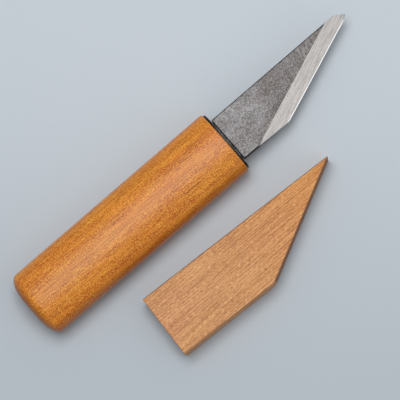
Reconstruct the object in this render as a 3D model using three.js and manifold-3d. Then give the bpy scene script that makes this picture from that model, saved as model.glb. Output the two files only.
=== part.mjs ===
// A whittling knife with a skewed, single-bevel blade and its loose wooden sheath, in millimetres.
//
// The knife lies on the broad side of its oval handle with the blade pointing along +X and its back
// towards +Y. The sheath lies flat beside it. The finished group is shifted so that the origin is the
// bottom centre of the whole object's box.
import * as THREE from "three";
import { mergeVertices } from "three/addons/utils/BufferGeometryUtils.js";
import Module from "manifold-3d";

const wasm = await Module();
wasm.setup();

// ---- Driving dimensions ------------------------------------------------------------------------

const handle = {
  length: 105,
  width: 30.2,
  thickness: 20.5,
  ovalPower: 2.2, // 2 is an ellipse, more is squarer
  buttDepth: 4.5, // length of the rounded butt end
  buttFlat: 0.4, // size of the flat face at the butt, as a part of the section
  frontRound: 0.5, // small rounding at the front end
};
const bore = { radius: 4.6, depth: 66 };
const plate = { thickness: 1.1, inset: 0.9 };
const blade = {
  width: 21.2,
  thickness: 2.6,
  gapToPlate: 0.45,
  tipX: 72.4,
  tipY: 8.2,
  clipLength: 5, // the slanted end of the back, down to the tip
  edgeAngle: THREE.MathUtils.degToRad(21),
  bevelWidth: 6.15,
  shoulderRadius: 0.8,
  heelRadius: 6,
};
const tang = {
  width: 5.4,
  endWidth: 4,
  length: 62,
  offsetY: -1.2, // its middle lies nearer the edge than the blade's middle does
};
const sheath = {
  length: 95.5, // along the straight back edge, from the mouth to the point
  mouthWidth: 28,
  toeWidth: 27.6,
  bellyLength: 46.5,
  cornerRadius: 8,
  baseThickness: 8.1,
  lidThickness: 4.4,
  glueLine: 0.1,
};
const pocket = { depth: 3.2, sideClearance: 0.4, endClearance: 0.6 };
const sheathPlace = {
  x: -67.6,
  y: -27.3,
  turn: THREE.MathUtils.degToRad(-3),
};
const fitGap = 0.1; // between the tang, the adhesive round it and the bore

const OVAL_SIDES = 48;
const axisZ = handle.thickness / 2;

// ---- Helpers -----------------------------------------------------------------------------------

// The oval section of the handle in the YZ plane, grown or shrunk by an offset.
function ovalPoints(offset = 0, scale = 1) {
  const halfWidth = (handle.width / 2 + offset) * scale;
  const halfHeight = (handle.thickness / 2 + offset) * scale;
  const points = [];
  for (let i = 0; i < OVAL_SIDES; i++) {
    const angle = ((i + 0.5) / OVAL_SIDES) * 2 * Math.PI;
    const c = Math.cos(angle);
    const s = Math.sin(angle);
    const reach = (v) => Math.sign(v) * Math.abs(v) ** (2 / handle.ovalPower);
    points.push(new THREE.Vector2(halfWidth * reach(c), halfHeight * reach(s)));
  }
  return points;
}

// A closed solid through a row of sections, each { x, points } with as many points in the YZ plane.
function loft(sections) {
  const count = sections[0].points.length;
  const positions = [];
  const index = [];
  for (const { x, points } of sections)
    for (const p of points) positions.push(x, p.x, axisZ + p.y);
  for (let s = 0; s + 1 < sections.length; s++)
    for (let i = 0; i < count; i++) {
      const a = s * count + i;
      const b = s * count + ((i + 1) % count);
      index.push(a, b, b + count, a, b + count, a + count);
    }
  for (const [s, flip] of [
    [0, true],
    [sections.length - 1, false],
  ]) {
    const centre = positions.length / 3;
    positions.push(sections[s].x, 0, axisZ);
    for (let i = 0; i < count; i++) {
      const a = s * count + i;
      const b = s * count + ((i + 1) % count);
      index.push(...(flip ? [centre, b, a] : [centre, a, b]));
    }
  }
  return new THREE.BufferGeometry()
    .setAttribute("position", new THREE.Float32BufferAttribute(positions, 3))
    .setIndex(index);
}

// A flat outline in the XY plane, extruded upwards from a height.
function slab(shape, bottom, thickness) {
  return new THREE.ExtrudeGeometry(shape, {
    depth: thickness,
    bevelEnabled: false,
    curveSegments: 8,
  }).translate(0, 0, bottom);
}

function toSolid(geometry) {
  const bare = geometry.clone();
  bare.deleteAttribute("normal");
  bare.deleteAttribute("uv");
  const merged = mergeVertices(bare, 1e-4);
  return new wasm.Manifold(
    new wasm.Mesh({
      numProp: 3,
      vertProperties: merged.attributes.position.array,
      triVerts: new Uint32Array(merged.index.array),
    }),
  );
}

function cut(geometry, cutter) {
  const mesh = toSolid(geometry).subtract(toSolid(cutter)).getMesh();
  return new THREE.BufferGeometry()
    .setAttribute(
      "position",
      new THREE.BufferAttribute(mesh.vertProperties, 3),
    )
    .setIndex(new THREE.BufferAttribute(mesh.triVerts, 1));
}

// Adds a corner rounded by a radius to a path, between the points before and after it.
function roundedCorner(path, before, corner, after, radius) {
  const toBefore = before.clone().sub(corner).normalize();
  const toAfter = after.clone().sub(corner).normalize();
  const halfAngle = Math.acos(toBefore.dot(toAfter)) / 2;
  const setback = radius / Math.tan(halfAngle);
  const start = corner.clone().addScaledVector(toBefore, setback);
  const end = corner.clone().addScaledVector(toAfter, setback);
  path.lineTo(start.x, start.y);
  path.quadraticCurveTo(corner.x, corner.y, end.x, end.y);
}

function part(name, geometry, color, roughness, metalness) {
  geometry.computeVertexNormals();
  const material = new THREE.MeshStandardMaterial({
    color,
    roughness,
    metalness,
  });
  const mesh = new THREE.Mesh(geometry, material);
  mesh.name = name;
  return mesh;
}

const point = (x, y) => new THREE.Vector2(x, y);

// ---- Blade -------------------------------------------------------------------------------------

const halfBlade = blade.width / 2;
const bladeBottom = axisZ - blade.thickness / 2;
const shoulderX = plate.thickness + blade.gapToPlate;
const edgeSlope = Math.tan(blade.edgeAngle);
// The straight edge runs back from just below the tip to the heel on the blade's lower side.
const edgeTipDrop = 0.9;
const heelX =
  blade.tipX - (blade.tipY - edgeTipDrop + halfBlade) / edgeSlope;

function bladeOutline() {
  const heel = point(heelX, -halfBlade);
  const edgeEnd = point(
    blade.tipX - blade.clipLength,
    -halfBlade + (blade.tipX - blade.clipLength - heelX) * edgeSlope,
  );
  const backShoulder = point(shoulderX, halfBlade);
  const bellyShoulder = point(shoulderX, -halfBlade);
  const clipStart = point(blade.tipX - blade.clipLength, halfBlade);
  const outline = new THREE.Shape();
  const tangEdge = (width) => [
    tang.offsetY - width / 2,
    tang.offsetY + width / 2,
  ];
  const [neckLow, neckHigh] = tangEdge(tang.width);
  const [endLow, endHigh] = tangEdge(tang.endWidth);
  outline.moveTo(-tang.length, endLow);
  outline.lineTo(shoulderX, neckLow);
  roundedCorner(
    outline,
    point(shoulderX, 0),
    bellyShoulder,
    heel,
    blade.shoulderRadius,
  );
  roundedCorner(outline, bellyShoulder, heel, edgeEnd, blade.heelRadius);
  outline.lineTo(edgeEnd.x, edgeEnd.y);
  outline.quadraticCurveTo(
    blade.tipX - blade.clipLength / 3,
    edgeEnd.y + (blade.clipLength * 2 * edgeSlope) / 3,
    blade.tipX,
    blade.tipY,
  );
  outline.quadraticCurveTo(
    blade.tipX - blade.clipLength / 2,
    halfBlade - edgeTipDrop / 2,
    clipStart.x,
    clipStart.y,
  );
  roundedCorner(
    outline,
    clipStart,
    backShoulder,
    point(shoulderX, 0),
    blade.shoulderRadius,
  );
  outline.lineTo(shoulderX, neckHigh);
  outline.lineTo(-tang.length, endHigh);
  outline.closePath();
  return outline;
}

// A block whose lower face lies on the bevel, which rises from the edge to the blade's upper face.
function bevelCutter() {
  const along = new THREE.Vector3(
    Math.cos(blade.edgeAngle),
    Math.sin(blade.edgeAngle),
    0,
  );
  const rise = new THREE.Vector3(
    -Math.sin(blade.edgeAngle) * blade.bevelWidth,
    Math.cos(blade.edgeAngle) * blade.bevelWidth,
    blade.thickness,
  ).normalize();
  const outward = along.clone().cross(rise);
  const size = { length: 160, width: 60, height: 20 };
  const centre = new THREE.Vector3(heelX, -halfBlade, bladeBottom)
    .addScaledVector(along, size.length / 4)
    .addScaledVector(outward, size.height / 2);
  return new THREE.BoxGeometry(
    size.length,
    size.width,
    size.height,
  ).applyMatrix4(
    new THREE.Matrix4().makeBasis(along, rise, outward).setPosition(centre),
  );
}

function makeBlade() {
  const blank = slab(bladeOutline(), bladeBottom, blade.thickness);
  return part("blade", cut(blank, bevelCutter()), 0x8c8582, 0.5, 0.9);
}

// ---- Handle ------------------------------------------------------------------------------------

// A cylinder along X from one end to the other.
function rodAlongX(radius, from, to) {
  return new THREE.CylinderGeometry(radius, radius, to - from, 24)
    .rotateZ(Math.PI / 2)
    .translate((from + to) / 2, 0, axisZ);
}

function makeHandle() {
  const sections = [];
  const buttSteps = 5;
  for (let i = 0; i <= buttSteps; i++) {
    const turn = (i / buttSteps) * (Math.PI / 2);
    sections.push({
      x: -handle.length + handle.buttDepth * (1 - Math.sin(turn)),
      points: ovalPoints(0, 1 - (1 - handle.buttFlat) * (1 - Math.cos(turn))),
    });
  }
  sections.reverse();
  const frontSteps = 3;
  for (let i = 0; i <= frontSteps; i++) {
    const turn = (i / frontSteps) * (Math.PI / 2);
    sections.push({
      x: -handle.frontRound * (1 - Math.sin(turn)),
      points: ovalPoints(-handle.frontRound * (1 - Math.cos(turn))),
    });
  }
  const grip = cut(loft(sections), rodAlongX(bore.radius, -bore.depth, 1));
  return part("handle", grip, 0xc5813f, 0.45, 0);
}

// Fills the bore round the tang and holds the blade in the handle.
function makeAdhesive() {
  const filler = rodAlongX(
    bore.radius - fitGap,
    fitGap - bore.depth,
    -fitGap,
  );
  const slot = new THREE.Shape([
    point(-tang.length - fitGap, -tang.endWidth / 2 - fitGap),
    point(1, -tang.width / 2 - fitGap),
    point(1, tang.width / 2 + fitGap),
    point(-tang.length - fitGap, tang.endWidth / 2 + fitGap),
  ]);
  const slotCutter = slab(
    slot,
    bladeBottom - fitGap,
    blade.thickness + 2 * fitGap,
  ).translate(0, tang.offsetY, 0);
  return part("tang_adhesive", cut(filler, slotCutter), 0x2b2622, 0.6, 0);
}

function makePlate() {
  const outline = new THREE.Shape(ovalPoints(-plate.inset));
  const slotHalfWidth = tang.width / 2 + 2 * fitGap;
  const slotHalfHeight = blade.thickness / 2 + 2 * fitGap;
  outline.holes.push(
    new THREE.Path([
      point(tang.offsetY - slotHalfWidth, -slotHalfHeight),
      point(tang.offsetY - slotHalfWidth, slotHalfHeight),
      point(tang.offsetY + slotHalfWidth, slotHalfHeight),
      point(tang.offsetY + slotHalfWidth, -slotHalfHeight),
    ]),
  );
  const disc = new THREE.ExtrudeGeometry(outline, {
    depth: plate.thickness,
    bevelEnabled: false,
  })
    .applyMatrix4(
      new THREE.Matrix4().makeBasis(
        new THREE.Vector3(0, 1, 0),
        new THREE.Vector3(0, 0, 1),
        new THREE.Vector3(1, 0, 0),
      ),
    )
    .translate(0, 0, axisZ);
  return part("front_plate", disc, 0x17181a, 0.35, 0.6);
}

// ---- Sheath ------------------------------------------------------------------------------------

// Drawn with its mouth on the Y axis and its straight back edge along +X.
function sheathOutline() {
  const toe = point(sheath.bellyLength, -sheath.toeWidth);
  const tip = point(sheath.length, 0);
  const bellyMouth = point(0, -sheath.mouthWidth);
  const outline = new THREE.Shape();
  outline.moveTo(0, 0);
  outline.lineTo(bellyMouth.x, bellyMouth.y);
  roundedCorner(outline, bellyMouth, toe, tip, sheath.cornerRadius);
  outline.lineTo(tip.x, tip.y);
  outline.closePath();
  return outline;
}

// The pocket follows the blade, which stands in the sheath with the front plate against the mouth.
function pocketOutline() {
  const middle = -sheath.mouthWidth / 2;
  const reach = blade.tipX - plate.thickness + pocket.endClearance;
  const half = halfBlade + pocket.sideClearance;
  const heel = heelX - plate.thickness;
  const overshoot = 2;
  return new THREE.Shape([
    point(-overshoot, middle - half),
    point(heel, middle - half),
    point(reach, middle - half + (reach - heel) * edgeSlope),
    point(reach, middle + half),
    point(-overshoot, middle + half),
  ]);
}

function makeSheath() {
  const base = cut(
    slab(sheathOutline(), 0, sheath.baseThickness),
    slab(pocketOutline(), sheath.baseThickness - pocket.depth, pocket.depth + 1),
  );
  const lid = slab(
    sheathOutline(),
    sheath.baseThickness + sheath.glueLine,
    sheath.lidThickness,
  );
  const group = new THREE.Group();
  group.add(part("sheath_pocket_half", base, 0xc38f63, 0.7, 0));
  group.add(part("sheath_lid_half", lid, 0xc38f63, 0.7, 0));
  group.position.set(sheathPlace.x, sheathPlace.y, 0);
  group.rotation.z = sheathPlace.turn;
  return group;
}

// ---- The whole object --------------------------------------------------------------------------

const group = new THREE.Group();
group.add(makeBlade(), makeHandle(), makeAdhesive(), makePlate(), makeSheath());
group.updateMatrixWorld(true);
const box = new THREE.Box3().setFromObject(group, true);
group.position.set(
  -(box.min.x + box.max.x) / 2,
  -(box.min.y + box.max.y) / 2,
  -box.min.z,
);

export default group;
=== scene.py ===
"""A whittling knife and its wooden sheath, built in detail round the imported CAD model.

Everything is in metres in the CAD's frame. Sizes written in millimetres are named values that the mesh
builders multiply by MM. The knife's pieces are drawn in knife coordinates: x forward from the front end
of the handle's wood, y across towards the blade's back, z up from the handle's axis. The sheath's pieces
are drawn with their mouth on the y axis and their straight back edge along x.
"""

import math

import bmesh
import bpy
from mathutils import Matrix, Vector


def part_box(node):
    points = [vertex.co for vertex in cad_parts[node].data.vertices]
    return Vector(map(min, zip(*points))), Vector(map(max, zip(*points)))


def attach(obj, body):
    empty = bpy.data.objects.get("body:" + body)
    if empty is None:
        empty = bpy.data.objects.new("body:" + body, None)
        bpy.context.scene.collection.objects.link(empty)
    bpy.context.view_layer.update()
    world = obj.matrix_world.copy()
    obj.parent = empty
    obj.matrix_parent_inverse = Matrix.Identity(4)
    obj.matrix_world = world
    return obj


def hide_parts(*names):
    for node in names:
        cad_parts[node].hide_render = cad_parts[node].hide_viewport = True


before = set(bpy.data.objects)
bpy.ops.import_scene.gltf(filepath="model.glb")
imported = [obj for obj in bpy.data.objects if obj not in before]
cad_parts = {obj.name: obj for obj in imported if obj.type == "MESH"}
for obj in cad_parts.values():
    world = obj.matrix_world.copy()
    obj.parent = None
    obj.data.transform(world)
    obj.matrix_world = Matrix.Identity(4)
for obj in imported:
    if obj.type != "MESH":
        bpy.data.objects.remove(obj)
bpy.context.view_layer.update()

MM = 0.001

# ---- Places taken from the CAD -------------------------------------------------------------------

handle_low, handle_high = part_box("handle")
plate_low, plate_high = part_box("front_plate")
blade_low, blade_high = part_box("blade")
base_low, base_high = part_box("sheath_pocket_half")
lid_low, lid_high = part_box("sheath_lid_half")

handle_middle = (handle_low + handle_high) / 2
knife_origin = Vector((handle_high.x, handle_middle.y, handle_middle.z))
handle_length = (handle_high.x - handle_low.x) / MM
handle_half_width = (handle_high.y - handle_low.y) / 2 / MM
handle_half_height = (handle_high.z - handle_low.z) / 2 / MM
plate_thickness = (plate_high.x - plate_low.x) / MM
plate_half_width = (plate_high.y - plate_low.y) / 2 / MM
plate_half_height = (plate_high.z - plate_low.z) / 2 / MM
blade_thickness = (blade_high.z - blade_low.z) / MM
blade_bottom = (blade_low.z - knife_origin.z) / MM
tang_end = (blade_low.x - knife_origin.x) / MM
blade_tip_x = (blade_high.x - knife_origin.x) / MM
blade_low_y = (blade_low.y - knife_origin.y) / MM
blade_high_y = (blade_high.y - knife_origin.y) / MM

lid_corners = [v.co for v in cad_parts["sheath_lid_half"].data.vertices]
sheath_origin = max(lid_corners, key=lambda p: p.y)
sheath_point = max(lid_corners, key=lambda p: p.x)
sheath_turn = math.atan2(sheath_point.y - sheath_origin.y, sheath_point.x - sheath_origin.x)

# ---- Driving sizes of the looks, in millimetres --------------------------------------------------

merge_distance = 0.002

# The handle's and the plate's ovals: how many sides they are drawn with, and how square they are.
oval_sides = 96
oval_power = 2.2

# The butt's rounding runs over its depth, round a flat end that is this share of the full section.
butt = {"depth": 4.5, "flat": 0.4, "rings": 14}
grip_rings = 20
front = {"round": 0.5, "rings": 6}
bore = {"radius": 4.6, "depth": 66.0}
butt_stain_depth = 3.5
# Painted shade on the handle's lower side: the colour darkens between these two places across the
# handle.
lower_side_painted_shade = {"from_y": -11.5, "to_y": -15.0}
handle_streaks = (
    {"start": (-27.5, -7.1), "end": (-17.0, -7.0), "width": 0.3},
    {"start": (-21.5, 4.1), "end": (-12.7, 3.2), "width": 0.22},
)

plate_rim = {"round": 0.3, "rings": 5}
slot = {"half_width": 2.9, "half_height": 1.5, "power": 7.0}

tang = {"width": 5.4, "end_width": 4.0, "middle_y": -1.2, "corner": 0.3, "flare": 0.4}
shoulder = {"x": plate_thickness + 0.45, "plan_radius": 0.8, "round": 0.4}
clip = {"length": 5.0, "fullness": 0.8, "tip_y": 8.2}
edge = {"heel_x": 25.75, "slope": math.tan(math.radians(21.05)), "heel_radius": 6.0, "rise_length": 3.4}
bevel = {"width": 6.1, "hook": 0.45, "hook_from": 18.0, "hook_length": 8.2}
honed = {"width": 0.36, "height": 0.26}
back_hollow = {"depth": 0.12, "from_edge": 1.2, "full_at": 4.5, "start_x": 8.0}

# The blade's rounded corners. A corner takes at most the given share of the thickness beside it, and
# the last radius is for the upper corner where the bevel reaches the back.
corner = {"round": 0.42, "most_of_side": 0.4, "at_bevel": 0.04}

# How many strips each side of the blade's section has, and how many sections draw each stretch.
strips = {"corner": 3, "face": 20, "bevel": 10, "honed": 2, "belly": 2, "back": 24}
stretches = {"tang": 6, "flare": 4, "shoulder": 4, "base": 4, "body": 90, "clip": 20}

sheath_easing = {"round": 0.28, "rings": 3}
burnished_width = 0.45
grain_slant = math.radians(2.5)
seam = 0.04
pocket = {
    "depth": 3.2,
    "half_width": 11.0,
    "reach": blade_tip_x - plate_thickness + 0.6,
    "heel_x": edge["heel_x"] - plate_thickness,
}

# ---- Camera and light, in metres and watts -------------------------------------------------------

camera_place = {
    "azimuth": math.radians(-10.5),
    "elevation": math.radians(80.6),
    "roll": math.radians(30.4),
    "distance": 1.0,
    "seen_width": 0.1648,
    "target": knife_origin + Vector((-23.12, -10.6, -4.25)) * MM,
}

# The key light hangs overhead, a little towards the back and the left. The cards stand where the bevel
# and the honed edge mirror them towards the camera. The sky is brighter away from its horizon.
key_lean = {"back": 0.15, "left": 0.05}
key_light = {"distance": 0.8, "width": 0.42, "height": 0.42, "power": 3.6}
bevel_card = {"distance": 1.0, "width": 0.6, "height": 0.6, "power": 0.47}
edge_card = {"distance": 1.3, "width": 1.0, "height": 0.4, "power": 1.4}
sky = {"lean": 0.4, "horizon_at": -0.2, "horizon": 0.05, "top": 0.5, "colour": (0.93, 0.965, 1.0, 1)}
# Painted light falloff on the backing paper: lighter at the back, darker at the front.
paper_painted_falloff = {"back": (205, 212, 218), "front": (188, 196, 203), "reach": 0.1}
floor_size = 12


def camera_axes(azimuth, elevation, roll):
    """The camera's right, up and backward directions."""
    back = Vector((
        math.sin(azimuth) * math.cos(elevation),
        -math.cos(azimuth) * math.cos(elevation),
        math.sin(elevation),
    ))
    level = Vector((math.cos(azimuth), math.sin(azimuth), 0))
    upright = back.cross(level)
    right = level * math.cos(roll) - upright * math.sin(roll)
    up = level * math.sin(roll) + upright * math.cos(roll)
    return right, up, back


view_right, view_up, view_back = camera_axes(
    camera_place["azimuth"], camera_place["elevation"], camera_place["roll"]
)
flat_right = Vector((view_right.x, view_right.y, 0)).normalized()
flat_up = Vector((view_up.x, view_up.y, 0)).normalized()


def make_camera():
    data = bpy.data.cameras.new("camera")
    data.sensor_width = 36
    data.lens = data.sensor_width * camera_place["distance"] / camera_place["seen_width"]
    data.clip_start = 0.05
    data.clip_end = 30
    camera = bpy.data.objects.new("camera", data)
    axes = Matrix((view_right, view_up, view_back)).transposed().to_4x4()
    place = camera_place["target"] + view_back * camera_place["distance"]
    camera.matrix_world = Matrix.Translation(place) @ axes
    bpy.context.scene.collection.objects.link(camera)
    bpy.context.scene.camera = camera


# ---- Node materials ------------------------------------------------------------------------------


def rgb(red, green, blue):
    """A colour given as 0 to 255 on the screen, as the linear value that a shader takes."""
    def linear(value):
        v = value / 255
        return v / 12.92 if v <= 0.04045 else ((v + 0.055) / 1.055) ** 2.4
    return (linear(red), linear(green), linear(blue), 1.0)


class Shader:
    """A material with one Principled shader, and short ways to add the nodes that feed it."""

    def __init__(self, name, **uniform):
        self.material = bpy.data.materials.new(name)
        self.material.use_nodes = True
        self.tree = self.material.node_tree
        self.surface = self.tree.nodes["Principled BSDF"]
        for socket, value in uniform.items():
            self.surface.inputs[socket.replace("_", " ")].default_value = value

    def add(self, kind, output, settings=None, **inputs):
        node = self.tree.nodes.new(kind)
        for key, value in (settings or {}).items():
            setattr(node, key, value)
        for name, value in inputs.items():
            self.put(node.inputs[name.replace("_", " ")], value)
        return node.outputs[output]

    def put(self, socket, value):
        if isinstance(value, bpy.types.NodeSocket):
            self.tree.links.new(value, socket)
        else:
            socket.default_value = value

    def set(self, **inputs):
        """Links nodes to the shader's own sockets."""
        for name, value in inputs.items():
            self.put(self.surface.inputs[name.replace("_", " ")], value)

    def millimetres(self, turn=0.0, shift=(0, 0, 0)):
        """The object's own coordinates in millimetres, turned about z and shifted."""
        place = self.add("ShaderNodeTexCoord", "Object")
        return self.add(
            "ShaderNodeMapping", "Vector",
            Vector=place, Scale=(1 / MM, 1 / MM, 1 / MM), Rotation=(0, 0, turn), Location=shift,
        )

    def stretched(self, vector, cells, tilt=0.0):
        """Coordinates with so many cells per millimetre along each axis, then tilted about x."""
        return self.add(
            "ShaderNodeMapping", "Vector", Vector=vector, Scale=cells, Rotation=(tilt, 0, 0)
        )

    def noise(self, vector, cells, detail=2.0, roughness=0.5):
        return self.add(
            "ShaderNodeTexNoise", "Fac",
            Vector=self.stretched(vector, cells), Scale=1.0, Detail=detail, Roughness=roughness,
        )

    def cell_distance(self, vector, cells):
        """Distance to the nearest of scattered points.

        They are scattered on a plane tilted about x, so that upright sides get marks too.
        """
        return self.add(
            "ShaderNodeTexVoronoi", "Distance", {"voronoi_dimensions": "2D"},
            Vector=self.stretched(vector, cells, tilt=0.6), Scale=1.0,
        )

    def remap(self, value, low, high, new_low=0.0, new_high=1.0):
        return self.add(
            "ShaderNodeMapRange", "Result", {"interpolation_type": "SMOOTHSTEP"},
            Value=value, From_Min=low, From_Max=high, To_Min=new_low, To_Max=new_high,
        )

    def maths(self, operation, first, second=0.0):
        node = self.tree.nodes.new("ShaderNodeMath")
        node.operation = operation
        self.put(node.inputs[0], first)
        self.put(node.inputs[1], second)
        return node.outputs[0]

    def along(self, vector, direction):
        """How far a place lies along a direction."""
        node = self.tree.nodes.new("ShaderNodeVectorMath")
        node.operation = "DOT_PRODUCT"
        self.put(node.inputs[0], vector)
        self.put(node.inputs[1], direction)
        return node.outputs["Value"]

    def mix(self, factor, first, second):
        return self.add("ShaderNodeMixRGB", "Color", Fac=factor, Color1=first, Color2=second)

    def axis(self, vector, name):
        return self.add("ShaderNodeSeparateXYZ", name, Vector=vector)

    def bump(self, height, distance, strength=1.0):
        """A bump whose height runs over so many millimetres."""
        return self.add(
            "ShaderNodeBump", "Normal", Height=height, Distance=distance * MM, Strength=strength
        )

    def streak(self, vector, start, end, width):
        """A thin line from start to end on the upper side, fading out over its width and ends."""
        slope = (end[1] - start[1]) / (end[0] - start[0])
        x = self.axis(vector, "X")
        line_y = self.maths("ADD", self.maths("MULTIPLY", x, slope), start[1] - slope * start[0])
        off_line = self.maths("ABSOLUTE", self.maths("SUBTRACT", self.axis(vector, "Y"), line_y))
        across = self.remap(off_line, 0.2 * width, width, 0.8, 0.0)
        half = (end[0] - start[0]) / 2
        from_middle = self.maths("ABSOLUTE", self.maths("SUBTRACT", x, start[0] + half))
        along = self.remap(from_middle, 0.5 * half, half, 1.0, 0.0)
        upper = self.remap(self.axis(vector, "Z"), 0.0, 1.0)
        return self.maths("MULTIPLY", self.maths("MULTIPLY", across, along), upper)


def handle_wood():
    """Stained wood under satin lacquer: slow tone bands, streaks along the grain and fine pores.

    The stain is darker at the butt; along the lower side, painted shade darkens the colour.
    """
    s = Shader("handle_wood", Specular_IOR_Level=0.25, Coat_Weight=0.22, Coat_Roughness=0.34)
    place = s.millimetres()
    bands = s.noise(place, (0.008, 0.17, 0.17), detail=3, roughness=0.55)
    streaks = s.noise(place, (0.02, 0.6, 0.6), detail=4, roughness=0.7)
    fibres = s.noise(place, (0.12, 2.4, 2.4), detail=1)
    pores = s.noise(place, (2.2, 4.6, 4.6), detail=0)
    colour = s.mix(s.remap(bands, 0.36, 0.64), rgb(214, 106, 4), rgb(230, 142, 30))
    colour = s.mix(s.remap(streaks, 0.42, 0.60, 0.0, 0.7), colour, rgb(188, 88, 6))
    colour = s.mix(s.remap(fibres, 0.50, 0.34, 0.0, 0.5), colour, rgb(156, 70, 4))
    colour = s.mix(s.remap(fibres, 0.50, 0.66, 0.0, 0.5), colour, rgb(246, 166, 56))
    colour = s.mix(s.remap(pores, 0.52, 0.32, 0.0, 0.55), colour, rgb(140, 62, 8))
    colour = s.mix(s.remap(pores, 0.48, 0.68, 0.0, 0.6), colour, rgb(255, 190, 92))
    from_butt = s.maths("ADD", s.axis(place, "X"), handle_length)
    colour = s.mix(s.remap(from_butt, 0.0, butt_stain_depth, 0.65, 0.0), colour, rgb(140, 62, 4))
    y = s.axis(place, "Y")
    # Painted shade: the lower side is darkened in the colour itself.
    side_shade = s.remap(y, lower_side_painted_shade["from_y"], lower_side_painted_shade["to_y"], 0.0, 0.45)
    colour = s.mix(side_shade, colour, rgb(140, 62, 4))
    for streak in handle_streaks:
        colour = s.mix(s.streak(place, **streak), colour, rgb(96, 40, 10))
    s.set(Base_Color=colour)
    s.set(Roughness=s.remap(pores, 0.3, 0.7, 0.36, 0.46))
    s.set(Normal=s.bump(s.maths("ADD", streaks, pores), 0.03, 0.5))
    return s.material


def sheath_wood(name, shift):
    """Plain sanded wood with straight grain and dark lines, golden towards the sheath's point."""
    s = Shader(name, Roughness=0.6, Specular_IOR_Level=0.4)
    place = s.millimetres(turn=-sheath_turn - grain_slant, shift=shift)
    bands = s.noise(place, (0.010, 0.20, 0.20), detail=2, roughness=0.5)
    ruddy = s.noise(place, (0.018, 0.06, 0.06), detail=2)
    lines = s.noise(place, (0.05, 2.6, 2.6), detail=0)
    fibres = s.noise(place, (0.7, 4.2, 4.2), detail=0)
    dashes = s.remap(s.cell_distance(place, (0.07, 1.2, 1.2)), 0.03, 0.19, 1.0, 0.0)
    colour = s.mix(s.remap(bands, 0.34, 0.66), rgb(211, 148, 93), rgb(205, 141, 86))
    colour = s.mix(s.remap(ruddy, 0.4, 0.62, 0.0, 0.6), colour, rgb(208, 141, 98))
    colour = s.mix(s.remap(s.axis(place, "X"), -30.0, 45.0, 0.0, 0.9), colour, rgb(206, 128, 40))
    colour = s.mix(s.remap(fibres, 0.50, 0.32, 0.0, 0.5), colour, rgb(164, 98, 48))
    colour = s.mix(s.remap(fibres, 0.50, 0.68, 0.0, 0.5), colour, rgb(250, 196, 132))
    colour = s.mix(s.remap(lines, 0.53, 0.66, 0.0, 0.45), colour, rgb(156, 92, 48))
    colour = s.mix(s.remap(lines, 0.48, 0.34, 0.0, 0.25), colour, rgb(246, 190, 128))
    colour = s.mix(s.maths("MULTIPLY", dashes, 0.5), colour, rgb(124, 68, 36))
    s.set(Base_Color=colour)
    s.set(Normal=s.bump(fibres, 0.03, 0.5))
    return s.material


def burnished_edge():
    """The sheath's dark straight edge."""
    s = Shader("burnished_edge", Roughness=0.55, Specular_IOR_Level=0.3)
    place = s.millimetres(turn=-sheath_turn)
    patches = s.noise(place, (0.25, 1.5, 1.5), detail=2)
    s.set(Base_Color=s.mix(s.remap(patches, 0.35, 0.65), rgb(84, 46, 28), rgb(124, 72, 44)))
    return s.material


def end_grain():
    """The sheath's mouth end and slanted side, cut across the grain."""
    s = Shader("sheath_end_grain", Roughness=0.7, Specular_IOR_Level=0.3)
    place = s.millimetres(turn=-sheath_turn)
    pores = s.noise(place, (2.4, 2.4, 1.2), detail=2)
    s.set(Base_Color=s.mix(s.remap(pores, 0.36, 0.64), rgb(124, 80, 54), rgb(172, 118, 80)))
    return s.material


def forged_face():
    """Dull forged steel with dark freckles and cloudy patches, darker beside the bevel and forwards."""
    s = Shader("forged_face", Metallic=0.6)
    place = s.millimetres()
    clouds = s.noise(place, (0.12, 0.16, 0.16), detail=4, roughness=0.6)
    mottle = s.noise(place, (0.7, 0.8, 0.8), detail=3, roughness=0.65)
    rust = s.noise(s.millimetres(shift=(40, 10, 0)), (0.09, 0.16, 0.16), detail=3, roughness=0.55)
    grain = s.noise(place, (2.0, 2.0, 2.0), detail=2, roughness=0.6)
    hatching = s.noise(s.millimetres(turn=math.radians(-72)), (0.15, 1.1, 1.1), detail=1)
    freckles = s.remap(s.cell_distance(place, (0.6, 0.6, 0.6)), 0.08, 0.26, 1.0, 0.0)
    freckled = s.maths("MULTIPLY", freckles, s.remap(clouds, 0.42, 0.62, 0.0, 0.6))
    x = s.axis(place, "X")
    border_y = s.maths("ADD", s.maths("MULTIPLY", x, edge["slope"]), border_line(0))
    from_border = s.maths("SUBTRACT", s.axis(place, "Y"), border_y)
    colour = s.mix(s.remap(clouds, 0.35, 0.65), rgb(136, 134, 136), rgb(110, 106, 106))
    colour = s.mix(s.remap(mottle, 0.50, 0.64, 0.0, 0.6), colour, rgb(76, 70, 68))
    colour = s.mix(s.remap(rust, 0.50, 0.66, 0.0, 0.5), colour, rgb(106, 88, 81))
    colour = s.mix(s.remap(from_border, 5.0, 0.0, 0.0, 0.6), colour, rgb(82, 73, 69))
    colour = s.mix(s.remap(x, 14.0, 32.0, 0.0, 0.65), colour, rgb(74, 68, 66))
    colour = s.mix(s.remap(grain, 0.50, 0.66, 0.0, 0.6), colour, rgb(176, 172, 168))
    colour = s.mix(s.remap(grain, 0.50, 0.34, 0.0, 0.85), colour, rgb(54, 50, 50))
    hatched = s.maths("MULTIPLY", s.remap(x, 36.0, 44.0), s.remap(hatching, 0.48, 0.60, 0.0, 0.55))
    colour = s.mix(hatched, colour, rgb(134, 130, 128))
    colour = s.mix(freckled, colour, rgb(44, 40, 40))
    s.set(Base_Color=colour)
    s.set(Roughness=s.remap(grain, 0.3, 0.7, 0.42, 0.6))
    s.set(Normal=s.bump(grain, 0.05, 0.6))
    return s.material


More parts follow.
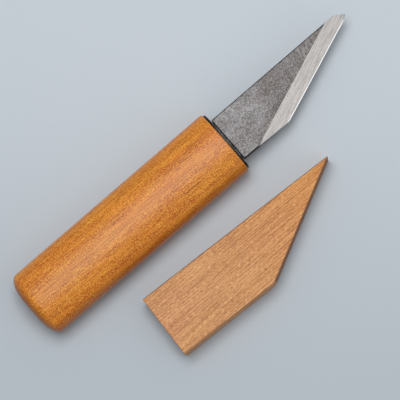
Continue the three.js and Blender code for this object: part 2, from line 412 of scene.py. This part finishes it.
def ground_bevel():
    """Ground steel with fine scratches along the edge."""
    s = Shader("ground_bevel", Metallic=0.9, Roughness=0.4)
    place = s.millimetres(turn=-math.atan(edge["slope"]))
    scratches = s.noise(place, (0.12, 2.6, 2.6), detail=2, roughness=0.7)
    specks = s.noise(place, (1.3, 2.2, 2.2), detail=1)
    colour = s.mix(s.remap(scratches, 0.36, 0.64), rgb(232, 226, 222), rgb(198, 193, 189))
    colour = s.mix(s.remap(specks, 0.44, 0.30, 0.0, 0.5), colour, rgb(166, 162, 158))
    s.set(Base_Color=colour)
    s.set(Normal=s.bump(scratches, 0.01, 0.5))
    return s.material


def honed_edge():
    """The polished cutting edge."""
    s = Shader("honed_edge", Metallic=1.0, Roughness=0.26)
    place = s.millimetres(turn=-math.atan(edge["slope"]))
    patches = s.noise(place, (0.6, 3.0, 3.0), detail=2)
    s.set(Base_Color=s.mix(patches, rgb(252, 252, 250), rgb(236, 235, 232)))
    return s.material


def forge_black():
    """The blade's black, unpolished edges and tang."""
    s = Shader("forge_black", Metallic=0.0, Roughness=0.6, Specular_IOR_Level=0.25)
    place = s.millimetres()
    grain = s.noise(place, (1.5, 1.5, 1.5), detail=3, roughness=0.6)
    s.set(Base_Color=s.mix(grain, rgb(20, 19, 20), rgb(40, 37, 36)))
    s.set(Normal=s.bump(grain, 0.04, 0.6))
    return s.material


def flat_back():
    """The blade's underside, ground flat with a shallow hollow."""
    s = Shader("flat_back", Metallic=0.9, Roughness=0.4)
    place = s.millimetres()
    scratches = s.noise(place, (0.15, 4.0, 4.0), detail=3, roughness=0.7)
    s.set(Base_Color=s.mix(scratches, rgb(188, 184, 180), rgb(160, 156, 152)))
    s.set(Normal=s.bump(scratches, 0.01, 0.5))
    return s.material


def black_plate():
    """Black-finished steel."""
    s = Shader("black_plate", Metallic=0.0, Roughness=0.42, Specular_IOR_Level=0.3)
    place = s.millimetres()
    grain = s.noise(place, (1.2, 1.2, 1.2), detail=3)
    s.set(Base_Color=s.mix(grain, rgb(14, 15, 15), rgb(30, 30, 31)))
    s.set(Normal=s.bump(grain, 0.02, 0.4))
    return s.material


def painted_rim_highlight():
    """Painted highlight on the plate's front rim: patches of light grey metal in the black finish."""
    s = Shader("painted_rim_highlight", Metallic=0.7, Roughness=0.35)
    place = s.millimetres()
    patches = s.noise(place, (0.4, 0.4, 0.4), detail=3, roughness=0.7)
    # Painted highlight: light grey patches in the black along the rim.
    s.set(Base_Color=s.mix(s.remap(patches, 0.42, 0.58), rgb(40, 41, 42), rgb(196, 196, 192)))
    return s.material


def cured_adhesive():
    s = Shader("cured_adhesive", Roughness=0.5)
    place = s.millimetres()
    grain = s.noise(place, (0.8, 0.8, 0.8), detail=3)
    s.set(Base_Color=s.mix(grain, rgb(44, 38, 33), rgb(58, 50, 42)))
    s.set(Normal=s.bump(grain, 0.08, 0.5))
    return s.material


def paper():
    """Pale backing paper with painted light falloff: a little darker towards the front."""
    s = Shader("paper", Roughness=0.9, Specular_IOR_Level=0.2)
    towards_back = s.along(s.add("ShaderNodeTexCoord", "Object"), flat_up)
    # Painted light falloff: the paper's colour darkens towards the front.
    tone = s.remap(towards_back, -paper_painted_falloff["reach"], paper_painted_falloff["reach"])
    s.set(Base_Color=s.mix(tone, rgb(*paper_painted_falloff["front"]), rgb(*paper_painted_falloff["back"])))
    return s.material


# ---- Mesh helpers --------------------------------------------------------------------------------


def new_object(name, mesh, materials, origin, turn=0.0):
    for material in materials:
        mesh.materials.append(material)
    piece = bpy.data.objects.new(name, mesh)
    piece.location = origin
    piece.rotation_euler.z = turn
    bpy.context.scene.collection.objects.link(piece)
    return piece


def loft(rings, face_material=None, close_loop=False):
    """A mesh through rings of equally many (x, y, z) points in millimetres.

    The ends are capped, or joined to each other with close_loop. face_material(ring, point) gives the
    material index of the face between two rings and two points. Points that fall together are merged.
    """
    count = len(rings[0])
    bm = bmesh.new()
    verts = [[bm.verts.new(Vector(p) * MM) for p in ring] for ring in rings]
    spans = len(rings) if close_loop else len(rings) - 1
    for r in range(spans):
        here, there = verts[r], verts[(r + 1) % len(rings)]
        for i in range(count):
            j = (i + 1) % count
            face = bm.faces.new((here[i], here[j], there[j], there[i]))
            face.material_index = face_material(r, i) if face_material else 0
    if not close_loop:
        bm.faces.new(list(reversed(verts[0])))
        bm.faces.new(verts[-1])
    bmesh.ops.remove_doubles(bm, verts=bm.verts, dist=merge_distance * MM)
    bmesh.ops.recalc_face_normals(bm, faces=bm.faces)
    mesh = bpy.data.meshes.new("loft")
    bm.to_mesh(mesh)
    bm.free()
    return mesh


def shade(mesh, sharp_above=35.0, crisp_pairs=()):
    """Smooth shading, with sharp edges above an angle and between the given pairs of materials."""
    mesh.polygons.foreach_set("use_smooth", [True] * len(mesh.polygons))
    mesh.set_sharp_from_angle(angle=math.radians(sharp_above))
    bm = bmesh.new()
    bm.from_mesh(mesh)
    for e in bm.edges:
        if frozenset(f.material_index for f in e.link_faces) in crisp_pairs:
            e.smooth = False
    bm.to_mesh(mesh)
    bm.free()


def weigh_normals(piece):
    """Keeps flat faces flat right up to their rounded edges."""
    piece.modifiers.new("weighted_normals", "WEIGHTED_NORMAL").keep_sharp = True


def oval(x, half_width, half_height, power=oval_power, middle_y=0.0):
    """Points round an oval across the knife at x. A power of 2 is an ellipse, and more is squarer."""
    points = []
    for i in range(oval_sides):
        angle = 2 * math.pi * (i + 0.5) / oval_sides
        c, s = math.cos(angle), math.sin(angle)
        y = middle_y + half_width * math.copysign(abs(c) ** (2 / power), c)
        z = half_height * math.copysign(abs(s) ** (2 / power), s)
        points.append((x, y, z))
    return points


def steps(count):
    """Evenly spaced numbers from 0 to 1."""
    return [i / count for i in range(count + 1)]


def smoothstep(low, high, value):
    t = min(max((value - low) / (high - low), 0.0), 1.0)
    return t * t * (3 - 2 * t)


# ---- Handle and plate ----------------------------------------------------------------------------


def make_handle(material):
    """The grip from the butt to its front end, and the bore for the tang."""
    def scaled(x, scale):
        return oval(x, handle_half_width * scale, handle_half_height * scale)

    rings = [scaled(-handle_length, butt["flat"] * share) for share in (0.3, 0.65)]
    for t in steps(butt["rings"]):
        angle = math.pi / 2 * (1 - t)
        x = -handle_length + butt["depth"] * (1 - math.sin(angle))
        rings.append(scaled(x, 1 - (1 - butt["flat"]) * (1 - math.cos(angle))))
    grip_length = handle_length - butt["depth"] - front["round"]
    for t in steps(grip_rings)[1:-1]:
        rings.append(scaled(-handle_length + butt["depth"] + grip_length * t, 1))
    for t in steps(front["rings"]):
        angle = math.pi / 2 * t
        inset = front["round"] * (1 - math.cos(angle))
        x = -front["round"] * (1 - math.sin(angle))
        rings.append(oval(x, handle_half_width - inset, handle_half_height - inset))
    for x in (0.0, -bore["depth"]):
        rings.append(oval(x, bore["radius"], bore["radius"], power=2))
    mesh = loft(rings)
    shade(mesh)
    handle = new_object("handle_grip", mesh, [material], knife_origin)
    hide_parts("handle")
    return handle


def make_plate(materials):
    """The thin plate on the handle's front end, round the slot for the tang."""
    def slot_ring(x):
        return oval(x, slot["half_width"], slot["half_height"], slot["power"], tang["middle_y"])

    rings = [slot_ring(0.0), oval(0.0, plate_half_width, plate_half_height)]
    rim_start = len(rings)
    for t in steps(plate_rim["rings"]):
        angle = math.pi / 2 * t
        inset = plate_rim["round"] * (1 - math.cos(angle))
        x = plate_thickness - plate_rim["round"] * (1 - math.sin(angle))
        rings.append(oval(x, plate_half_width - inset, plate_half_height - inset))
    rings.append(slot_ring(plate_thickness))

    def face_material(ring, point):
        """The painted-highlight material along the middle of the rounded rim."""
        return 1 if rim_start + 1 <= ring < rim_start + plate_rim["rings"] - 1 else 0

    mesh = loft(rings, face_material, close_loop=True)
    shade(mesh)
    plate = new_object("end_plate", mesh, materials, knife_origin)
    weigh_normals(plate)
    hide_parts("front_plate")
    return plate


# ---- Blade ---------------------------------------------------------------------------------------

FACE, BEVEL, HONED, BLACK, BACK = range(5)

# The section's sides in order, starting at the blade's back: the number of strips and their material.
section_sides = (
    (strips["corner"], BLACK),  # upper corner of the back
    (strips["face"], FACE),
    (strips["corner"], BLACK),  # upper corner of the belly, before the bevel starts
    (strips["bevel"], BEVEL),
    (strips["honed"], HONED),
    (strips["belly"], BLACK),  # side of the belly
    (strips["corner"], BLACK),  # lower corner of the belly
    (strips["back"], BACK),
    (strips["corner"], BLACK),  # lower corner of the back
    (1, BLACK),  # side of the back
)
section_materials = [material for count, material in section_sides for _ in range(count)]

# Widths along y of the bevel and of the honed edge, whose sizes are given square to the slanted edge.
edge_secant = math.sqrt(1 + edge["slope"] ** 2)
bevel_width_y = bevel["width"] * edge_secant
honed_width_y = honed["width"] * edge_secant


def edge_line(x):
    """The cutting edge: straight, carried on past the heel, and rising at the tip."""
    straight = blade_low_y + (x - edge["heel_x"]) * edge["slope"]
    near_tip = max(0.0, x - (blade_tip_x - edge["rise_length"])) / edge["rise_length"]
    end = blade_low_y + (blade_tip_x - edge["heel_x"]) * edge["slope"]
    return straight + (clip["tip_y"] - end) * near_tip**2


def shoulder_inset(x):
    """How far the rounded corners at the blade's base draw its sides in."""
    radius = shoulder["plan_radius"]
    short = min(radius, max(0.0, radius - (x - shoulder["x"])))
    return radius - math.sqrt(radius**2 - short**2)


def low_side(x):
    """The blade's lower outline: the belly, the rounded heel and the edge."""
    turn = math.atan(edge["slope"])
    setback = edge["heel_radius"] * math.tan(turn / 2)
    run = x - (edge["heel_x"] - setback)
    if run <= 0:
        return blade_low_y + shoulder_inset(x)
    if run >= edge["heel_radius"] * math.sin(turn):
        return edge_line(x)
    return blade_low_y + edge["heel_radius"] - math.sqrt(edge["heel_radius"] ** 2 - run**2)


def high_side(x):
    """The blade's upper outline: the straight back, then the clip down to the tip."""
    t = (x - (blade_tip_x - clip["length"])) / clip["length"]
    if t <= 0:
        return blade_high_y - shoulder_inset(x)
    control = blade_high_y - clip["fullness"]
    return (1 - t) ** 2 * blade_high_y + 2 * t * (1 - t) * control + t**2 * clip["tip_y"]


def border_line(x):
    """Where the bevel meets the forged face. It hooks down a little where it starts."""
    hook = min(1.0, max(0.0, (bevel["hook_from"] - x) / bevel["hook_length"]))
    return edge_line(x) + bevel_width_y - bevel["hook"] * hook**2


def ground_height(x, y, room):
    """Height of the bevel or of the honed edge at a point, above the blade's flat underside.

    The honed edge takes at most half of the room between the blade's sides.
    """
    wide = min(honed_width_y, room / 2)
    high = honed["height"] * wide / honed_width_y
    from_edge = y - edge_line(x)
    across = border_line(x) - edge_line(x) - wide
    honed_z = high * from_edge / wide
    bevel_z = high + (blade_thickness - high) * (from_edge - wide) / across
    return min(honed_z, bevel_z)


def arc(y, z, radius, first):
    """Points on a quarter circle round (y, z), from an angle in degrees, turning from +y towards +z."""
    angles = [math.radians(first + 90 * t) for t in steps(strips["corner"])]
    return [(y + radius * math.cos(a), z + radius * math.sin(a)) for a in angles]


def straight(start, end, count):
    """Points after start, up to and with end."""
    (y, z), (end_y, end_z) = start, end
    return [(y + (end_y - y) * t, z + (end_z - z) * t) for t in steps(count)[1:]]


def section(x, low, high, inset, rounding):
    """The blade's closed section at x, between low and high, thinner by an inset above and below."""
    room = max(high - low, 0.01)
    top, bottom = blade_thickness - inset, inset

    def surface(y):
        return max(bottom, min(top, ground_height(x, y, room)))

    # How far each corner is rounded, by its place: high or low in y, above or below in z.
    high_below = min(rounding, corner["most_of_side"] * (surface(high) - bottom))
    bevel_reaches_back = border_line(x) > high - high_below
    high_above = min(high_below, corner["at_bevel"]) if bevel_reaches_back else high_below
    low_above = min(rounding, max(0.0, low - border_line(x)))
    low_below = min(rounding, corner["most_of_side"] * (surface(low) - bottom))

    face_start = high - high_above
    face_end = min(max(border_line(x), low + low_above), face_start)
    honed_start = max(low, min(edge_line(x) + min(honed_width_y, room / 2), face_end))
    bevel_end = (honed_start, surface(honed_start) - low_above)
    points = arc(face_start, surface(high) - high_above, high_above, 0)
    points += straight((face_start, surface(face_start)), (face_end, surface(face_end)), strips["face"])
    points += arc(face_end, surface(face_end) - low_above, low_above, 90)[1:]
    points += straight(points[-1], bevel_end, strips["bevel"])
    points += straight(bevel_end, (low, surface(low) - low_above), strips["honed"])
    points += straight(points[-1], (low, bottom + low_below), strips["belly"])
    points += arc(low + low_below, bottom + low_below, low_below, 180)[1:]
    for y, z in straight(points[-1], (high - high_below, bottom), strips["back"]):
        points.append((y, z + hollow(x, y, low, high)))
    points += arc(high - high_below, bottom + high_below, high_below, 270)[1:]
    return [(x, y, blade_bottom + z) for y, z in points]


def hollow(x, y, low, high):
    """Depth of the shallow hollow ground into the underside."""
    margin = min(y - low, high - y, x - back_hollow["start_x"])
    return back_hollow["depth"] * smoothstep(back_hollow["from_edge"], back_hollow["full_at"], margin)


def tang_section(x, half_width):
    return section(x, tang["middle_y"] - half_width, tang["middle_y"] + half_width, 0, tang["corner"])


def make_blade(materials):
    """The blade and its tang in one piece, drawn as sections from the tang's end to the tip."""
    rings = []
    neck_x = shoulder["x"] - tang["flare"]
    for t in steps(stretches["tang"]):
        width = tang["end_width"] + (tang["width"] - tang["end_width"]) * t
        rings.append(tang_section(tang_end + (neck_x - tang_end) * t, width / 2))
    for t in steps(stretches["flare"])[1:]:
        angle = math.pi / 2 * t
        half_width = tang["width"] / 2 + tang["flare"] * (1 - math.cos(angle))
        rings.append(tang_section(neck_x + tang["flare"] * math.sin(angle), half_width))
    for t in steps(stretches["shoulder"]):
        angle = math.pi / 2 * t
        x = shoulder["x"] + shoulder["round"] * (1 - math.cos(angle))
        inset = shoulder["round"] * (1 - math.sin(angle))
        rings.append(section(x, low_side(x) + inset, high_side(x) - inset, inset, corner["round"]))
    black_rings = len(rings)
    base_start = shoulder["x"] + shoulder["round"]
    body_start = shoulder["x"] + shoulder["plan_radius"]
    clip_start = blade_tip_x - clip["length"]
    places = [base_start + (body_start - base_start) * t for t in steps(stretches["base"])[1:]]
    places += [body_start + (clip_start - body_start) * t for t in steps(stretches["body"])[1:]]
    clip_steps = [math.sin(math.pi / 2 * t) for t in steps(stretches["clip"])[1:]]
    places += [clip_start + clip["length"] * t for t in clip_steps]
    rings += [section(x, low_side(x), high_side(x), 0, corner["round"]) for x in places]

    def face_material(ring, point):
        return BLACK if ring < black_rings else section_materials[point]

    mesh = loft(rings, face_material)
    crisp = {frozenset(pair) for pair in ((FACE, BEVEL), (BEVEL, HONED), (BEVEL, BLACK), (HONED, BACK))}
    shade(mesh, crisp_pairs=crisp)
    blade = new_object("blade_and_tang", mesh, materials, knife_origin)
    weigh_normals(blade)
    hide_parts("blade")
    return blade


# ---- Sheath --------------------------------------------------------------------------------------

LONG_GRAIN, BURNISHED, END_GRAIN = range(3)


def sheath_outline():
    """The sheath's convex outline in its own coordinates, in millimetres, from the CAD's lid."""
    turn_back = Matrix.Rotation(-sheath_turn, 3, "Z")
    local = [(turn_back @ (corner_place - sheath_origin) / MM).xy for corner_place in lid_corners]
    outline = {tuple(round(value, 4) for value in place) for place in local}
    middle_x, middle_y = (sum(values) / len(outline) for values in zip(*outline))
    return sorted(outline, key=lambda place: math.atan2(place[1] - middle_y, place[0] - middle_x))


# The mouth's two corners are the ones at the y axis, or within a millimetre of it.
sheath_shape = sheath_outline()
sheath_mouth_width = -min(y for x, y in sheath_shape if x < 1)


def prism(outline, bottom, top):
    """A closed upright block over an outline."""
    bm = bmesh.new()
    lower = [bm.verts.new(Vector((x, y, bottom)) * MM) for x, y in outline]
    upper = [bm.verts.new(Vector((x, y, top)) * MM) for x, y in outline]
    bm.faces.new(list(reversed(lower)))
    bm.faces.new(upper)
    for i in range(len(outline)):
        j = (i + 1) % len(outline)
        bm.faces.new((lower[i], lower[j], upper[j], upper[i]))
    bmesh.ops.recalc_face_normals(bm, faces=bm.faces)
    mesh = bpy.data.meshes.new("prism")
    bm.to_mesh(mesh)
    bm.free()
    return mesh


def ease_edges(piece, seam_z):
    """Rounds a sheath half's outer edges, but not its upright corners or those at the glued seam."""
    bm = bmesh.new()
    bm.from_mesh(piece.data)
    weight = bm.edges.layers.float.new("bevel_weight_edge")
    for e in bm.edges:
        start_z, end_z = (v.co.z / MM for v in e.verts)
        level = abs(start_z - end_z) < merge_distance
        at_seam = abs(start_z - seam_z) < merge_distance
        e[weight] = 1.0 if level and not at_seam and e.calc_face_angle() > math.radians(30) else 0.0
    bm.to_mesh(piece.data)
    bm.free()
    easing = piece.modifiers.new("eased_edges", "BEVEL")
    easing.limit_method = "WEIGHT"
    easing.width = sheath_easing["round"] * MM
    easing.segments = sheath_easing["rings"]
    easing.material = BURNISHED


def keep_evaluated(piece):
    """Makes the piece's modifiers and its place part of its mesh."""
    bpy.context.view_layer.update()
    depsgraph = bpy.context.evaluated_depsgraph_get()
    mesh = bpy.data.meshes.new_from_object(piece.evaluated_get(depsgraph))
    mesh.transform(piece.matrix_world)
    piece.modifiers.clear()
    piece.data = mesh
    piece.matrix_world = Matrix.Identity(4)


def cut_pocket(piece, seam_z):
    """Cuts the blade's pocket into the half that holds it, from beyond its mouth and its seam."""
    middle = -sheath_mouth_width / 2
    low, high = middle - pocket["half_width"], middle + pocket["half_width"]
    beyond = 2
    outline = [
        (-beyond, low),
        (pocket["heel_x"], low),
        (pocket["reach"], low + (pocket["reach"] - pocket["heel_x"]) * edge["slope"]),
        (pocket["reach"], high),
        (-beyond, high),
    ]
    mesh = prism(outline, seam_z - pocket["depth"], seam_z + beyond)
    cutter = new_object("pocket_cutter", mesh, [], piece.location, sheath_turn)
    cut = piece.modifiers.new("pocket", "BOOLEAN")
    cut.object = cutter
    cut.solver = "EXACT"
    keep_evaluated(piece)
    bpy.data.objects.remove(cutter)


def choose_sheath_materials(piece):
    """Burnished wood on the straight back's eased edges, and end grain on sides that cut the grain."""
    turn_back = Matrix.Rotation(-sheath_turn, 3, "Z")
    for face in piece.data.polygons:
        normal = turn_back @ face.normal
        along_back = (turn_back @ (face.center - sheath_origin)).y > -burnished_width * MM
        if face.material_index == BURNISHED and along_back:
            continue
        cuts_grain = abs(normal.x) > 0.35 and abs(normal.z) < 0.5
        face.material_index = END_GRAIN if cuts_grain else LONG_GRAIN


def make_sheath_half(name, node, materials, bottom, top, seam_z):
    """One of the sheath's two glued halves, from bottom to top in millimetres above the floor."""
    mesh = prism(sheath_shape, bottom, top)
    origin = Vector((sheath_origin.x, sheath_origin.y, 0))
    half = new_object(name, mesh, materials, origin, sheath_turn)
    ease_edges(half, seam_z)
    if node == "sheath_pocket_half":
        cut_pocket(half, seam_z)
    else:
        keep_evaluated(half)
    choose_sheath_materials(half)
    shade(half.data, sharp_above=50)
    weigh_normals(half)
    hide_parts(node)
    return half


# ---- Floor and light -----------------------------------------------------------------------------


def make_floor(material):
    bpy.ops.mesh.primitive_plane_add(size=floor_size, location=(0, 0, 0))
    floor = bpy.context.object
    floor.name = "floor"
    floor.data.materials.append(material)


def area_light(name, direction, distance, width, height, power):
    """A soft rectangular light that faces the middle of the object from a direction."""
    data = bpy.data.lights.new(name, "AREA")
    data.shape = "RECTANGLE"
    data.size = width
    data.size_y = height
    data.energy = power
    lamp = bpy.data.objects.new(name, data)
    lamp.location = camera_place["target"] + direction.normalized() * distance
    lamp.rotation_mode = "QUATERNION"
    lamp.rotation_quaternion = direction.to_track_quat("Z", "Y")
    lamp.visible_camera = False
    bpy.context.scene.collection.objects.link(lamp)


def mirror_direction(rise, run):
    """Where a light shows in a face that rises from the cutting edge by rise over run."""
    outward = Vector((edge["slope"], -1, 0)).normalized()
    normal = (outward * rise + Vector((0, 0, run))).normalized()
    return 2 * normal.dot(view_back) * normal - view_back


def make_sky():
    """A soft white surround, brighter above and behind the object than in front of it."""
    world = bpy.data.worlds.new("studio")
    bpy.context.scene.world = world
    world.use_nodes = True
    nodes, links = world.node_tree.nodes, world.node_tree.links
    direction = nodes.new("ShaderNodeTexCoord")
    facing = nodes.new("ShaderNodeVectorMath")
    facing.operation = "DOT_PRODUCT"
    facing.inputs[1].default_value = (flat_up * sky["lean"] + Vector((0, 0, 1))).normalized()
    links.new(direction.outputs["Generated"], facing.inputs[0])
    strength = nodes.new("ShaderNodeMapRange")
    strength.inputs["From Min"].default_value = sky["horizon_at"]
    strength.inputs["To Min"].default_value = sky["horizon"]
    strength.inputs["To Max"].default_value = sky["top"]
    links.new(facing.outputs["Value"], strength.inputs["Value"])
    background = nodes["Background"]
    background.inputs["Color"].default_value = sky["colour"]
    links.new(strength.outputs["Result"], background.inputs["Strength"])


def make_lights():
    overhead = flat_up * key_lean["back"] - flat_right * key_lean["left"] + Vector((0, 0, 1))
    area_light("key", overhead, **key_light)
    bevel_rise = blade_thickness - honed["height"]
    bevel_run = bevel["width"] - honed["width"]
    area_light("bevel_card", mirror_direction(bevel_rise, bevel_run), **bevel_card)
    area_light("edge_card", mirror_direction(honed["height"], honed["width"]), **edge_card)
    make_sky()


# ---- Put together --------------------------------------------------------------------------------

bpy.context.scene.view_settings.view_transform = "Standard"
make_camera()
make_lights()
make_floor(paper())

knife_pieces = [
    make_handle(handle_wood()),
    make_plate([black_plate(), painted_rim_highlight()]),
    make_blade([forged_face(), ground_bevel(), honed_edge(), forge_black(), flat_back()]),
]
for piece in knife_pieces:
    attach(piece, "knife")

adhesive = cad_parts["tang_adhesive"]
adhesive.data.materials.clear()
adhesive.data.materials.append(cured_adhesive())

edge_materials = [burnished_edge(), end_grain()]
seam_middle = (base_high.z + lid_low.z) / 2 / MM
base_top = seam_middle - seam / 2
lid_bottom = seam_middle + seam / 2
sheath_halves = [
    make_sheath_half(
        "pocket_half", "sheath_pocket_half",
        [sheath_wood("sheath_wood_pocket_half", shift=(0, 31, 0)), *edge_materials],
        bottom=base_low.z / MM, top=base_top, seam_z=base_top,
    ),
    make_sheath_half(
        "lid_half", "sheath_lid_half",
        [sheath_wood("sheath_wood_lid_half", shift=(0, 0, 0)), *edge_materials],
        bottom=lid_bottom, top=lid_high.z / MM, seam_z=lid_bottom,
    ),
]
for piece in sheath_halves:
    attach(piece, "sheath")
